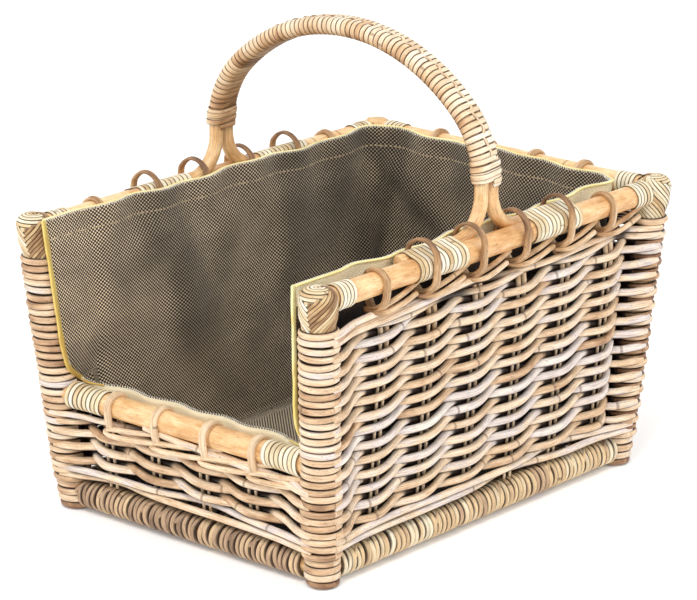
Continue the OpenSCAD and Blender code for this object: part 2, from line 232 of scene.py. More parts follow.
class Bundle:
    """Collects swept canes in one mesh, each with its lengthwise coordinates and its tone."""

    def __init__(self):
        self.parts = []
        self.quads = []
        self.ends = []
        self.count = 0

    def sweep(self, path, thick, wide=None, sides=8, facing=None, closed=False, tone=0.5, power=2.0,
              lit=None, veil=1.0):
        """A cane along a path. thick is its half size towards facing, and wide its half size across.
        Its section is an ellipse, and squarer where power is over 2. Its colour is kept where it faces lit,
        and painted shade darkens it behind and where the light given for each point falls to 0."""
        path = np.asarray(path, float)
        n = len(path)
        wide = thick if wide is None else wide
        thick, wide, tone, veil = [
            np.broadcast_to(np.asarray(v, float), (n,)) for v in (thick, wide, tone, veil)]
        if closed:
            tangent = unit(np.roll(path, -1, 0) - np.roll(path, 1, 0))
        else:
            tangent = unit(np.gradient(path, axis=0))
        if facing is None:
            normal = carried(tangent)
        else:
            facing = np.broadcast_to(np.asarray(facing, float), path.shape)
            normal = unit(facing - (facing * tangent).sum(1)[:, None] * tangent)
        s = distances(path) + rng.uniform(0, 5000)
        if not closed:
            bevel = 0.35 * thick[[0, -1]]
            path = np.vstack([path[0] - tangent[0] * bevel[0], path, path[-1] + tangent[-1] * bevel[1]])
            tangent, normal, tone, veil, s, thick, wide = [
                np.concatenate([v[:1], v, v[-1:]]) for v in (tangent, normal, tone, veil, s, thick, wide)]
            thick[[0, -1]] *= 0.75
            wide[[0, -1]] *= 0.75
            n += 2
        across = np.cross(tangent, normal)
        angle = around(sides)
        c, d = [np.sign(f) * np.abs(f) ** (2 / power) for f in (np.cos(angle), np.sin(angle))]
        x, y = thick[:, None] * c, wide[:, None] * d
        verts = path[:, None] + x[..., None] * normal[:, None] + y[..., None] * across[:, None]
        # Painted light: 1 where the surface faces the light, falling towards 0 where painted shade darkens
        # it; flat strips are painted dark along their edges
        painted_light = np.ones(x.shape)
        if power > 2 and facing is not None:
            painted_light = np.broadcast_to(1 - smooth((np.abs(d) - 0.69) / 0.25), x.shape)
        elif facing is not None:
            way = [v[None, :, None] for v in (np.cos(angle), np.sin(angle))]
            way = way[0] * normal[:, None] + way[1] * across[:, None]
            towards = normal[:, None] if lit is None else unit(lit)
            dark, light = (0.3, 0.8) if lit is None else (-0.22, 0.2)
            painted_light = smooth(((way * towards).sum(-1) - dark) / (light - dark))
        coords = np.stack([np.broadcast_to(s[:, None], x.shape), x, y], -1)
        tones = np.broadcast_to(tone[:, None], x.shape)
        self.skin(verts, coords, tones, painted_light * veil[:, None], closed)

    def skin(self, verts, coords, tones, painted_light, closed=False):
        """Faces between rings of points, from end to end or right round."""
        n, sides = verts.shape[:2]
        self.parts.append((verts.reshape(-1, 3), coords.reshape(-1, 3), tones.ravel(), painted_light.ravel()))
        i = np.arange(n if closed else n - 1)[:, None] * sides
        j = (i + sides) % (n * sides)
        k = np.arange(sides)[None]
        m = (k + 1) % sides
        self.quads.append(np.stack([i + k, i + m, j + m, j + k], -1).reshape(-1, 4) + self.count)
        if not closed:
            ring = np.arange(sides) + self.count
            self.ends.append(ring[::-1].tolist())
            self.ends.append((ring + (n - 1) * sides).tolist())
        self.count += n * sides

    def build(self, name, finish, *nodes):
        """Makes the mesh and puts it in the scene."""
        verts, coords, tones, painted_light = [np.concatenate(v) for v in zip(*self.parts)]
        mesh = bpy.data.meshes.new(name)
        faces = np.concatenate(self.quads).tolist() + self.ends
        mesh.from_pydata((verts / MM).tolist(), [], faces)
        paint(mesh, "cane", coords)
        paint(mesh, "tone", tones)
        paint(mesh, "painted_light", painted_light)
        smoothed = np.ones(len(mesh.polygons), bool)
        smoothed[len(faces) - len(self.ends):] = False
        mesh.polygons.foreach_set("use_smooth", smoothed)
        return place(name, mesh, finish, nodes)


def paint(mesh, name, values):
    """Stores a number or a vector for each point of a mesh, for its material."""
    kind, field = ("FLOAT_VECTOR", "vector") if values.ndim == 2 else ("FLOAT", "value")
    mesh.attributes.new(name, kind, "POINT").data.foreach_set(field, values.ravel())


def place(name, mesh, finish, nodes):
    """Puts a mesh in the scene as a piece that stands for CAD nodes, with a finish."""
    piece = bpy.data.objects.new(name, mesh)
    bpy.context.scene.collection.objects.link(piece)
    mesh.materials.append(MATERIALS[finish])
    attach(piece, "root")
    if nodes:
        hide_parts(*nodes)
    return piece


# ---- Materials ----

class Nodes:
    """Short names for building a material's node tree."""

    def __init__(self, name):
        self.material = bpy.data.materials.new(name)
        self.material.use_nodes = True
        self.tree = self.material.node_tree
        self.shader = self.tree.nodes["Principled BSDF"]

    def add(self, kind, inputs=None, **settings):
        node = self.tree.nodes.new("ShaderNode" + kind)
        for key, value in settings.items():
            setattr(node, key, value)
        for key, value in (inputs or {}).items():
            self.set(node.inputs[key], value)
        return node

    def set(self, socket, value):
        if isinstance(value, bpy.types.NodeSocket):
            self.tree.links.new(value, socket)
        else:
            socket.default_value = value

    def attribute(self, name, output="Fac"):
        return self.add("Attribute", attribute_name=name).outputs[output]

    def math(self, operation, a, b=0.0, c=0.0):
        return self.add("Math", {0: a, 1: b, 2: c}, operation=operation).outputs[0]

    def shifted(self, value, noise, amount):
        """A value moved up or down by a noise about 0.5."""
        return self.math("ADD", value, self.math("MULTIPLY", self.math("SUBTRACT", noise, 0.5), amount))

    def ramp(self, value, colours):
        """A ramp through evenly spaced colours."""
        node = self.add("ValToRGB", {0: value})
        points = node.color_ramp.elements
        while len(points) < len(colours):
            points.new(0.5)
        for i, (point, colour) in enumerate(zip(points, colours)):
            point.position = i / (len(colours) - 1)
            point.color = rgba(colour)
        return node.outputs[0]

    def range(self, value, lo, hi, to_lo=0.0, to_hi=1.0):
        inputs = {0: value, 1: lo, 2: hi, 3: to_lo, 4: to_hi}
        return self.add("MapRange", inputs, interpolation_type="SMOOTHSTEP").outputs[0]

    def noise(self, vector, scale, rough=0.5, detail=3.0):
        """Noise whose scale is set for each axis."""
        stretched = self.add("VectorMath", {0: vector, 1: scale}, operation="MULTIPLY").outputs[0]
        inputs = {"Vector": stretched, "Scale": 1.0, "Detail": detail, "Roughness": rough}
        return self.add("TexNoise", inputs).outputs[0]

    def mix(self, amount, a, b, blend="MIX"):
        node = self.add("Mix", data_type="RGBA", blend_type=blend)
        self.set(node.inputs[0], amount)
        self.set(node.inputs[6], a)
        self.set(node.inputs[7], b)
        return node.outputs[2]

    def bumped(self, height, strength, depth):
        return self.add("Bump", {"Strength": strength, "Distance": depth, "Height": height}).outputs[0]


def rgba(text):
    """A linear colour from an sRGB hex code."""
    parts = [int(text[i:i + 2], 16) / 255 for i in (0, 2, 4)]
    return (*[p / 12.92 if p < 0.04045 else ((p + 0.055) / 1.055) ** 2.4 for p in parts], 1)


def cane_material(name, tones, dark, rough, ring_pitch=170, streak=0.4, specks=0.7, bump=0.3, coat=0.0,
                  painted_shade_colour="220c02", painted_shade_amount=0.92, patchy=0.7):
    """Cane: its tone drifts along each strand, with long fibres, specks, rings at its knots, and painted
    shade where it lies against its neighbours and on its sides turned from the light."""
    m = Nodes(name)
    painted_light = m.attribute("painted_light")
    cane = m.attribute("cane", "Vector")
    tone = m.attribute("tone")
    drift = m.noise(cane, (0.014, 0.05, 0.05))
    patch = m.noise(cane, (0.05, 0.16, 0.16), 0.6)
    colour = m.ramp(m.shifted(m.shifted(tone, drift, 0.9), patch, patchy), tones)
    fibre = m.noise(cane, (0.04, 0.9, 0.9), 0.75)
    shade = m.range(fibre, 0.3, 0.62, 1 - streak, 1.06)
    colour = m.mix(1.0, colour, m.add("CombineXYZ", {0: shade, 1: shade, 2: shade}).outputs[0], "MULTIPLY")
    spot = m.range(m.noise(cane, (0.3, 0.6, 0.6), 0.7), 0.62, 0.7)
    colour = m.mix(m.math("MULTIPLY", spot, specks), colour, rgba(dark))
    length = m.add("SeparateXYZ", {0: cane}).outputs[0]
    knot = m.add("TexVoronoi", {"W": m.math("DIVIDE", length, ring_pitch), "Scale": 1.0},
                 voronoi_dimensions="1D").outputs["Distance"]
    ring = m.range(knot, 0.9 / ring_pitch, 2.2 / ring_pitch, 1.0, 0.0)
    colour = m.mix(m.math("MULTIPLY", ring, 0.55), colour, rgba(dark))
    # Painted shade: the colour darkens towards the shade colour where the painted light value is low
    colour = m.mix(m.range(painted_light, 0.0, 1.0, painted_shade_amount, 0.0), colour, rgba(painted_shade_colour))
    swell = m.range(knot, 2.0 / ring_pitch, 8.0 / ring_pitch, 1.0, 0.0)
    height = m.math("ADD", m.math("MULTIPLY", fibre, 0.5), m.math("MULTIPLY", swell, 0.5))
    height = m.math("SUBTRACT", height, m.math("MULTIPLY", m.math("ADD", ring, spot), 0.35))
    normal = m.bumped(height, bump, 0.0008)
    m.set(m.shader.inputs["Base Color"], colour)
    m.set(m.shader.inputs["Roughness"], m.range(fibre, 0.3, 0.7, rough + 0.1, rough - 0.08))
    m.set(m.shader.inputs["Normal"], normal)
    m.shader.inputs["Coat Weight"].default_value = coat
    m.shader.inputs["Coat Roughness"].default_value = 0.35
    return m.material


HEM_LINE = 22  # from the cloth's edge down to its stitched line


def cloth_material(name, ground, dots, pitch, amount, stitched=False, shaded=0):
    """Plain-woven cloth: pale threads show as dots, with a stitched line below the hem's edge. Where it lies
    against the weave, from a depth below its edge, painted shade fades its dots."""
    m = Nodes(name)
    cloth = m.attribute("cloth", "Vector")
    soft = m.noise(cloth, (0.02, 0.02, 0.02))
    thread = m.noise(cloth, (0.6, 0.6, 0.6), detail=2.0)
    x, y, edge = m.add("SeparateXYZ", {0: cloth}).outputs
    weave = m.math("MULTIPLY", *[m.math("SINE", m.math("MULTIPLY", v, 2 * math.pi / pitch)) for v in (x, y)])
    dot = m.range(m.shifted(weave, thread, 0.4), 0.03, 0.36)
    # Painted shade: the dots are dimmed in the cloth's creases
    dot = m.math("MULTIPLY", dot, m.attribute("lit"))
    dot = m.math("MULTIPLY", dot, m.range(soft, 0.25, 0.75, amount * 0.7, amount))
    if shaded:
        dot = m.math("MULTIPLY", dot, m.range(edge, shaded, shaded + 22, 1.0, 0.02))
    colour = m.mix(dot, rgba(ground), rgba(dots))
    if stitched:
        line = m.range(m.math("ABSOLUTE", m.math("SUBTRACT", edge, HEM_LINE)), 0.7, 1.3, 1.0, 0.0)
        dash = m.range(m.math("SINE", m.math("MULTIPLY", x, 2 * math.pi / 5.5)), -0.4, 0.0)
        line = m.math("MULTIPLY", m.math("MULTIPLY", line, dash), 0.65)
        colour = m.mix(line, colour, rgba("c2ab86"))
    height = m.math("ADD", weave, m.math("MULTIPLY", thread, 0.5))
    normal = m.bumped(height, 0.5, 0.0006)
    m.set(m.shader.inputs["Base Color"], colour)
    m.set(m.shader.inputs["Normal"], normal)
    m.shader.inputs["Roughness"].default_value = 0.9
    m.shader.inputs["Sheen Weight"].default_value = 0.15
    return m.material


HONEY = ("8f5626", "c48d52", "e2b178", "f2cf9b", "fbe5bc")
WEAVER = ("8a6040", "c49b74", "e4c29c", "f4dabb", "e2d3cc", "f6ebdc")
FLAT = ("8a6238", "bf9866", "d8bb8c", "e6d1a8", "efe3c6", "f2ead6")
ARCH = ("8a6238", "bf9166", "dcb68a", "ecd2ae", "f5e6cc", "f8efde")
OLD = ("64482f", "a58568", "ccaa86", "e8c898", "f3e4c6")
STAKE = ("4a2f1d", "7a573a", "b08559", "d6b186", "efd3b0")
HEM = ("cf9a45", "dcb75c", "ead27c", "f4eaae")
THREAD = ("cfc4ab", "f3ecdc", "fbf8ef")
WINDING_RINGS = 900
NO_RINGS = 5000  # farther apart than most threads are long
CANES = {
    "post_cane": dict(tones=HONEY, dark="6b3d1c", rough=0.5),
    "rail_cane": dict(tones=HONEY, dark="7a431d", rough=0.4, ring_pitch=210, streak=0.16, specks=0.9,
                      bump=0.25, coat=0.2, painted_shade_amount=0.5, patchy=0.85),
    "base_winding": dict(tones=OLD, dark="3c2512", rough=0.55, ring_pitch=WINDING_RINGS, painted_shade_amount=0.85),
    "stake_cane": dict(tones=STAKE, dark="3a2417", rough=0.5, ring_pitch=400),
    "weaver_cane": dict(tones=WEAVER, dark="5c3a20", rough=0.5, ring_pitch=260, painted_shade_amount=1.0),
    "post_winding": dict(tones=WEAVER, dark="5c3a20", rough=0.52, ring_pitch=1200, painted_shade_amount=1.0),
    "arch_cane": dict(tones=ARCH, dark="6f4a26", rough=0.45, ring_pitch=WINDING_RINGS, streak=0.3,
                      specks=0.6, bump=0.2, coat=0.15, painted_shade_colour="5a3616", painted_shade_amount=0.85),
    "flat_cane": dict(tones=FLAT, dark="6f4a26", rough=0.45, ring_pitch=WINDING_RINGS, streak=0.3,
                      specks=0.55, bump=0.2, coat=0.15, painted_shade_colour="3a1a06", painted_shade_amount=0.85),
    "handle_cane": dict(tones=HONEY, dark="7a431d", rough=0.38, ring_pitch=190, streak=0.3, specks=0.85,
                        bump=0.25, coat=0.25, painted_shade_amount=0.5, patchy=1.0),
    "hem_cloth": dict(tones=HEM, dark="a8741f", rough=0.8, ring_pitch=NO_RINGS, streak=0.2, specks=0.1,
                      painted_shade_amount=0.3),
    "thread": dict(tones=THREAD, dark="8a7f68", rough=0.8, ring_pitch=NO_RINGS, streak=0.2, specks=0.0),
}
CLOTHS = {
    "liner_cloth": dict(ground="130802", dots="ffe6c0", pitch=4.4, amount=1.0, stitched=True),
    # The outside is a copy of the cloth with painted shade: a darker ground and dots, which fade below the
    # weave's top
    "liner_outside_shaded": dict(ground="190a03", dots="94694a", pitch=4.2, amount=1.0, shaded=34),
    "liner_reverse": dict(ground="f7ebc6", dots="fff8e4", pitch=3.2, amount=0.6),
}
MATERIALS = {name: cane_material(name, **look) for name, look in CANES.items()}
MATERIALS |= {name: cloth_material(name, **look) for name, look in CLOTHS.items()}


# ---- Posts, rails and base canes ----

def straight(a, b, step=8.0, sway=0.4):
    """Points from a to b with a slight natural sway."""
    a, b = np.asarray(a, float), np.asarray(b, float)
    length = np.linalg.norm(b - a)
    t = np.linspace(0, 1, max(3, int(length / step)))
    path = a + (b - a) * t[:, None]
    for axis in np.eye(3)[np.argsort(np.abs(b - a))[:2]]:
        path += axis * (wander(t * length, 400, sway) * np.sin(np.pi * t))[:, None]
    return path


def pole(name, finish, a, b, r, node):
    """A straight cane as a piece of its own, cut flat where it reaches the floor."""
    path = straight(a, b)
    s = np.linspace(0, np.linalg.norm(np.subtract(b, a)), len(path))
    bundle = Bundle()
    bundle.sweep(path, r + wander(s, 260, 0.25), sides=28, tone=rng.uniform(0.5, 0.7))
    heights = bundle.parts[0][0][:, 2]
    np.maximum(heights, 0, out=heights)
    bundle.build(name, finish, node)


FOOT_Z = 3.5  # where a post's foot starts to narrow


def make_poles():
    top = span("post_front_left")[1][2] - 7
    for name, (sx, sy) in CORNERS.items():
        pole(f"post_{name}_cane", "post_cane", post_at(sx, sy, FOOT_Z), post_at(sx, sy, top),
             POST_R - 0.2, f"post_{name}")
    for name, (a, b) in WALL_ENDS.items():
        z = front_z if name == "front" else rail_z
        for kind, height, r, finish in (("rail", z, rail_r, "rail_cane"),
                                        ("base_rail", base_z, base_r, "post_cane")):
            p, q = post_at(*a, height), post_at(*b, height)
            way = unit(q - p) * POST_R
            pole(f"{kind}_{name}_cane", finish, p + way, q - way, r, f"{kind}_{name}")


# ---- Weaving ----

AT_POST = 18.9  # how far out from the wall's middle a rod lies on its post
STAKE_SWING = 6.9  # how far out and in it swings past the stakes


def evened(values, width):
    """The running mean of a list of sizes."""
    return np.convolve(np.pad(values, width // 2, mode="edge"), np.ones(width) / width, mode="valid")


def near_post(s, reach):
    """0 in the wall, rising to 1 over a rod's last 50 mm."""
    return 1 - smooth((reach - np.abs(s)) / 50)


def lay_rod(bundle, wall, s, h, d, r, **look):
    """A rod on a wall, painted lit on the side that faces the wall's light and painted shade on the far side.
    """
    bundle.sweep(wall.at(s, h, d), r, sides=10, facing=wall.up, lit=wall.lit, **look)


def path_phase(wall, s, reach):
    """Half a turn for each stake passed, held steady beside the posts."""
    inset = reach - 24
    places = np.array([-inset, *wall.stakes, inset])
    if wall.rises < 0:
        places = -places[::-1]
    return np.interp(wall.rises * s, places, np.pi * np.arange(len(places)))


def twined_rod(bundle, wall, row, k, waves):
    """One of the two rods of a row: out past a stake, in past the next, climbing as it goes in. The row's
    own slow waves are the same for both."""
    mid = WEAVE_LO + ROW * (row + 0.5)
    reach, s = wall.steps(mid, 4.2)
    row_drift = 1.3 * np.sin(2 * np.pi * s / waves[0] + waves[1])
    theta = path_phase(wall, s, reach) + k * np.pi
    beside = near_post(s, reach)
    depth = (STAKE_SWING + (AT_POST - STAKE_SWING) * beside) * np.cos(theta)
    climb = wall.climb * 1.12 * np.sin(theta - 0.8 * np.cos(theta) - 0.12)
    r = rng.uniform(4.45, 5.05) + wander(s, 300, 0.22)
    r = r * (0.82 + 0.18 * smooth((reach - np.abs(s)) / 16))
    h = mid + climb + (row_drift + wander(s, 210, 0.9)) * (1 - beside)
    tone = np.clip((0.58 if wall.high else 0.42) + 0.18 * rng.standard_normal(), 0.2, 1.0)
    # Painted shade: the rod darkens where it passes in behind the stakes
    lay_rod(bundle, wall, s, h, depth, r, veil=0.04 + 0.96 * smooth((depth + 4.5) / 4), tone=tone)


def long_rod(bundle, wall, k):
    """A rod of the lowest row, which lies outside several stakes at a time."""
    mid = WEAVE_LO + ROW / 2
    reach, s = wall.steps(mid, 5)
    count = len(wall.stakes)
    hidden = count // 2 + k if count > 4 else 2 * k
    depths = [-7.0 if i == hidden else 7.6 for i in range(count)]
    places = [-reach, -reach + 26, *wall.stakes, reach - 26, reach]
    d = evened(np.interp(s, places, [AT_POST, 12, *depths, 12, AT_POST]), 13)
    h = mid + (2 * k - 1) * ROD * 0.96 + wander(s, 260, 0.7)
    lay_rod(bundle, wall, s, h, d, rng.uniform(4.0, 4.4), tone=rng.uniform(0.5, 0.75))


def top_rod(bundle, wall, k):
    """A rod laid along the top of the weave, in and out past the stakes as it climbs."""
    level = wall.weave_top + 3.5 + 6.5 * k
    reach, s = wall.steps(level, 5)
    theta = path_phase(wall, s, reach) * (0.5 if k else 1.0) + (0.6 + k) * np.pi
    beside = near_post(s, reach)
    depth = np.cos(theta) * 5 + 2
    depth = depth * (1 - beside) + AT_POST * beside
    h = level + 2.2 * np.sin(theta) + wander(s, 240, 1.0) * (1 - beside)
    # Painted shade: the top rods darken where they pass in behind the stakes
    lay_rod(bundle, wall, s, h, depth, rng.uniform(3.4, 4.0), veil=0.1 + 0.9 * smooth((depth + 3) / 6),
            tone=rng.uniform(0.4, 0.75))


# Rods whose ends lie along the top: height above the weave, length, depth, tone
TOP_ENDS = ((5, 250, 9, 0.6), (10, 130, 6, 0.25), (14, 95, 8, 0.7))


def make_weave(wall):
    bundle = Bundle()
    for k in (0, 1):
        long_rod(bundle, wall, k)
    for row in range(1, wall.rows):
        waves = rng.uniform(260, 480), phase()
        for k in (0, 1):
            twined_rod(bundle, wall, row, k, waves)
    for k in (0, 1):
        top_rod(bundle, wall, k)
    reach = wall.reach(wall.weave_top)
    for lift, length, depth, tone in TOP_ENDS[:3 if wall.high else 1]:
        t = np.linspace(0, 1, int(length / 5))
        s = wall.rises * (length * t - reach)
        h = wall.weave_top + lift + 0.06 * length * t ** 1.5 + wander(s, 160, 0.8)
        d = AT_POST + (depth - AT_POST) * smooth(t * length / 50)
        lay_rod(bundle, wall, s, h, d, rng.uniform(3.4, 4.1), tone=tone)
    bundle.build(f"weave_{wall.name}_rods", "weaver_cane", f"weave_{wall.name}")


# ---- Stakes, their loops over the rails, and the tails ----

LOOP_CANE = 1.8
TAIL_CANE = 3.1


def stake_path(wall, loop, outer, over_leg, tail):
    """A stake from its foot, up inside the rail, over it, down, round its own foot and out as a tail."""
    r, shift, lift = (21.6, -4.2, 8) if over_leg else (rail_r + LOOP_CANE + 0.3, 0, 0)
    rail = wall.rail_h
    e = 1 if outer else -1
    stake = loop + wall.rises * STAKE_LEAN + e * 5
    at = loop + e * 1.9
    foot = rail - 26
    bend, depth, drop = (17, 12.5, -3.0) if outer else (12.5, 9.0, 3.4)
    climb = 0.10 if outer else 0.16
    if wall.name == "front":
        climb -= 0.04
    points = [(stake, 38, 0), (stake, wall.weave_top * 0.5, 0), (stake, wall.weave_top - 8, 0),
              (stake * 0.45 + at * 0.55, min(wall.weave_top + 10, rail - 26), -7),
              (at, rail - 9, shift - r * 0.93)]
    points += [(at, rail + lift + r * math.sin(a), shift - r * math.cos(a))
               for a in np.radians(np.linspace(15, 165, 7))]
    points += [(at, rail - 12, shift + r * 0.98), (at - 1, foot + 4, shift + r * 0.72),
               (at - 4, foot - 1, 1.5), (at - bend + 3, foot - 1, -4.5),
               (at - bend, foot - 2, depth * 0.3), (at - bend + 5, foot - 2.5, depth),
               (at + 4, foot + drop + 0.5, depth + 3.5),
               (at + tail * 0.5, foot + drop + tail * 0.4 * climb, depth + 0.5),
               (at + tail, foot + drop + tail * climb, depth - 5)]
    s, h, d = np.array(points).T
    return curve_through(wall.at(s, h, d), 3.2)


def make_stakes(wall):
    bundle = Bundle()
    legs = wall.name in ("left", "right")
    for loop in wall.loops:
        over_leg = legs and abs(loop) < leg_reach
        loop = loop + rng.uniform(-2, 2)
        for outer in (False, True):
            tail = rng.uniform(50, 62) if outer else rng.uniform(62, 74)
            if not legs:
                tail += 28
            path = stake_path(wall, loop, outer, over_leg, tail)
            from_end = np.linalg.norm(path - path[-1], axis=1)
            woven = (path - wall.origin) @ wall.up < wall.weave_top - 4
            r = evened(np.where(from_end < tail + 10, TAIL_CANE, LOOP_CANE), 9)
            # Painted shade: the inner stake of each pair is darker, as the shaded side of the pair
            base = 0.32 if outer else 0.12
            if wall.name == "front":
                base += 0.4
            tone = base + 0.55 * smooth((tail + 25 - from_end) / 30) + rng.uniform(-0.06, 0.06)
            bundle.sweep(path, r, sides=10, tone=np.where(woven, 1.0, np.clip(tone, 0, 0.95)))
    bundle.build(f"stakes_{wall.name}_canes", "stake_cane", f"stakes_{wall.name}")


# ---- Floor ----

BAR_PITCH = 64
STRAND_PITCH = 11


def make_floor():
    bars = spread(8, BAR_PITCH)
    z = base_z + 6
    bundle = Bundle()
    reach = half_w(z) - base_wrap_r - 1
    for y in bars:
        for side in (-4.5, 4.5):
            path = straight((-reach, y + side, z), (reach, y + side, z), 12)
            bundle.sweep(path, 2.2, sides=8, tone=rng.uniform(0.2, 0.7))
    bundle.build("floor_bars_canes", "stake_cane", "floor_bars")
    bundle = Bundle()
    edge = half_d(z) - base_wrap_r - 2
    for i, x in enumerate(spread(30, STRAND_PITCH)):
        y = np.linspace(-edge, edge, 90)
        wave = np.cos(np.pi * (y - bars[0]) / BAR_PITCH) * (1 if i % 2 else -1)
        path = np.stack([x + wander(y, 200, 0.4), y, z + 6.4 * wave], 1)
        bundle.sweep(path, 3.9, 4.6, sides=8, facing=Z, tone=rng.uniform(0.25, 0.8))
    bundle.build("floor_weave_rods", "weaver_cane", "floor_weave")


# ---- Windings on the posts and the base canes ----

def circle_points(centre, a, b, r, count, wobble):
    """Points round a slightly uneven circle in the plane of a and b, and their outward directions."""
    t = around(count)
    r = r + wobble * (np.sin(2 * t + phase()) + np.sin(3 * t + phase())) / 2
    out = np.cos(t)[:, None] * a + np.sin(t)[:, None] * b
    return centre + r[:, None] * out, out


# Turns round a post's foot: height, radius, half thickness and half height of the cane
FOOT_TURNS = ((5.5, 16.6, 2.3, 3.9), (13.5, 17.3, 2.7, 4.6), (22.5, 17.4, 2.8, 4.6), (31, 17, 2.6, 4.2))
POST_WRAP_TOP = 297


def make_post_wrap(name, sx, sy):
    """Turns at half the rows' pitch. On the back posts every second one is thin and painted dark, as the
    shade in the gaps between the rows.
    """
    bundle = Bundle()
    level = WEAVE_LO - ROD * math.sin(0.5)
    second = False
    while level < POST_WRAP_TOP:
        thin = second and sy > 0
        tilt_x, tilt_y = rng.normal(0, 0.022, 2)
        centre = post_at(sx, sy, level + rng.normal(0, 0.25))
        r = (17.4 if thin else 18.6) + rng.normal(0, 0.25)
        path, out = circle_points(centre, X + Z * tilt_x, Y + Z * tilt_y, r, 36, 0.5)
        size = rng.uniform(2.9, 3.5) if thin else rng.uniform(4.0, 4.4)
        # Thin turns are painted dark, as shade between the rows
        tone = np.clip(0.41 + 0.15 * rng.standard_normal() - (0.5 if thin else 0), 0.0, 0.95)
        bundle.sweep(path, size, size * 1.03, sides=10, facing=out, closed=True, tone=tone)
        level += ROW / 2
        second = not second
    for level, r, size, high in FOOT_TURNS:
        tilt_x, tilt_y = rng.normal(0, 0.02, 2)
        path, out = circle_points(post_at(sx, sy, level), X + Z * tilt_x, Y + Z * tilt_y, r, 36, 0.5)
        tone = 0.05 if level < 8 else rng.uniform(0.25, 0.6)
        bundle.sweep(path, size, high, sides=10, facing=out, closed=True, tone=tone)
    bundle.build(f"post_wrap_{name}_rods", "post_winding", f"post_wrap_{name}")


def make_base_wrap(name, a, b):
    p, q = post_at(*a, base_z), post_at(*b, base_z)
    along = unit(q - p)
    across = np.cross(Z, along)
    up = np.cross(along, across)
    reach = np.linalg.norm(q - p) / 2 - 19.5
    cane = (base_wrap_r - base_r) / 2
    bundle = Bundle()
    at = -reach
    grey = name in ("front", "back")
    slant = 0.10 if name in ("right", "front") else -0.10
    while at < reach - 2:
        half = rng.uniform(3.3, 4.6)
        at += half
        centre = (p + q) / 2 + along * at
        tilt = slant + rng.normal(0, 0.05)
        lean = rng.normal(0, 0.06)
        path, out = circle_points(centre, across + along * tilt, up + along * lean,
                                  base_r + cane + 0.1, 28, 0.45)
        tone = np.clip((0.44 if grey else 0.73) + 0.15 * rng.standard_normal(), 0.12, 1.0)
        bundle.sweep(path, cane + 0.05, half * 0.95, sides=12, facing=out, closed=True, tone=tone, power=2.3)
        if rng.random() < 0.12:
            tuck(bundle, centre, along, across, up, tone)
        at += half
    bundle.build(f"base_wrap_{name}_rods", "base_winding", f"base_wrap_{name}")


def tuck(bundle, centre, along, across, up, tone):
    """The end of a winding cane, brought slantwise over its neighbours and pushed in."""
    t = np.linspace(0, 1, 9)
    angle = 0.35 + 1.3 * t
    r = base_wrap_r + 0.6 * np.sin(np.pi * t) - 2.4
    out = np.cos(angle)[:, None] * across * -1 + np.sin(angle)[:, None] * up
    path = centre + out * r[:, None] + along * (14 * (t - 0.5))[:, None]
    bundle.sweep(path, 2.6, sides=8, facing=out, tone=tone * 0.8)


# ---- Flat cane bindings ----

STRIP = 0.8  # half a strip's thickness
FLAT_SECTION = dict(sides=12, power=3.0)


def ring_strip(bundle, centre, across, along, r, half, tilt):
    """One slanting turn of flat cane round a cane that runs along."""
    tone = rng.uniform(0.5, 0.95)
    path, out = circle_points(centre, across, Z, r, 32, 0.1)
    path = path + along * (tilt * np.sin(around(32)))[:, None]
    bundle.sweep(path, STRIP, half, facing=out, closed=True, tone=tone, **FLAT_SECTION)


CAP_R = 19.2
CAP_SHOULDER = 12.0
CAP_RISE = {(-1, 1): 4.0}  # how high the cap's upright side goes, where it isn't the usual
USUAL_RISE = 9.0


def cap_point(sx, sy, u, v):
    """Points and normals of a corner's laced cap: u round it from its diagonal, v up and over it."""
    rise = CAP_RISE.get((sx, sy), USUAL_RISE)
    v = v - (USUAL_RISE - rise)
    angle = math.atan2(sy, sx) + u / CAP_R
    level = np.stack([np.cos(angle), np.sin(angle), np.zeros_like(angle)], -1)
    turn = np.clip((v - rise) / CAP_SHOULDER, 0, np.pi / 2)
    flat = np.maximum(v - rise - CAP_SHOULDER * np.pi / 2, 0)
    r = CAP_R - 3.0 * smooth((-v - 6) / 16) - CAP_SHOULDER * (1 - np.cos(turn)) - flat
    z = rail_z - 5 + np.minimum(v, rise) + CAP_SHOULDER * np.sin(turn)
    centre = np.stack([sx * half_w(z), sy * half_d(z), z], -1)
    normal = level * np.cos(turn)[:, None] + Z * np.sin(turn)[:, None]
    return centre + level * r[:, None], normal


LACE_PITCH = 5.3
LACE_EYE = 8.5  # height of the lacing's eye on the cap
# The lacing has three sides round its eye: where their corners lie, and each side's tone
LOW, RIGHT, LEFT = np.array([[0, -1], [1.707, 0.707], [-1.707, 0.707]])
LACE_SIDES = ((LOW, RIGHT, 0.2), (RIGHT, LEFT, 0.62), (LEFT, LOW, 0.6))


def lace(bundle, sx, sy):
    """Strips in three directions round an eye, which faces the front on the front corners."""
    turned = CAP_R * (math.radians(-83) - math.atan2(sy, sx)) if sy < 0 else 0
    for i in range(16):
        c = 1.6 + i * LACE_PITCH
        for start, end, base in LACE_SIDES:
            t = np.linspace(-0.03, 1.03, 6 + 3 * i)
            u, v = c * (start + (end - start) * t[:, None]).T
            v += LACE_EYE + rng.normal(0, 0.2)
            keep = (v > -28) & (v < 35) & (np.abs(u) < 58)
            if keep.sum() < 3:
                continue
            path, normal = cap_point(sx, sy, u[keep] + turned, v[keep])
            lift = 0.7 + 0.5 * t[keep] + 0.03 * i
            tone = np.clip(base + 0.18 * rng.standard_normal(), 0.05, 1)
            bundle.sweep(path + normal * lift[:, None], STRIP, 1.95, facing=normal, tone=tone, **FLAT_SECTION)


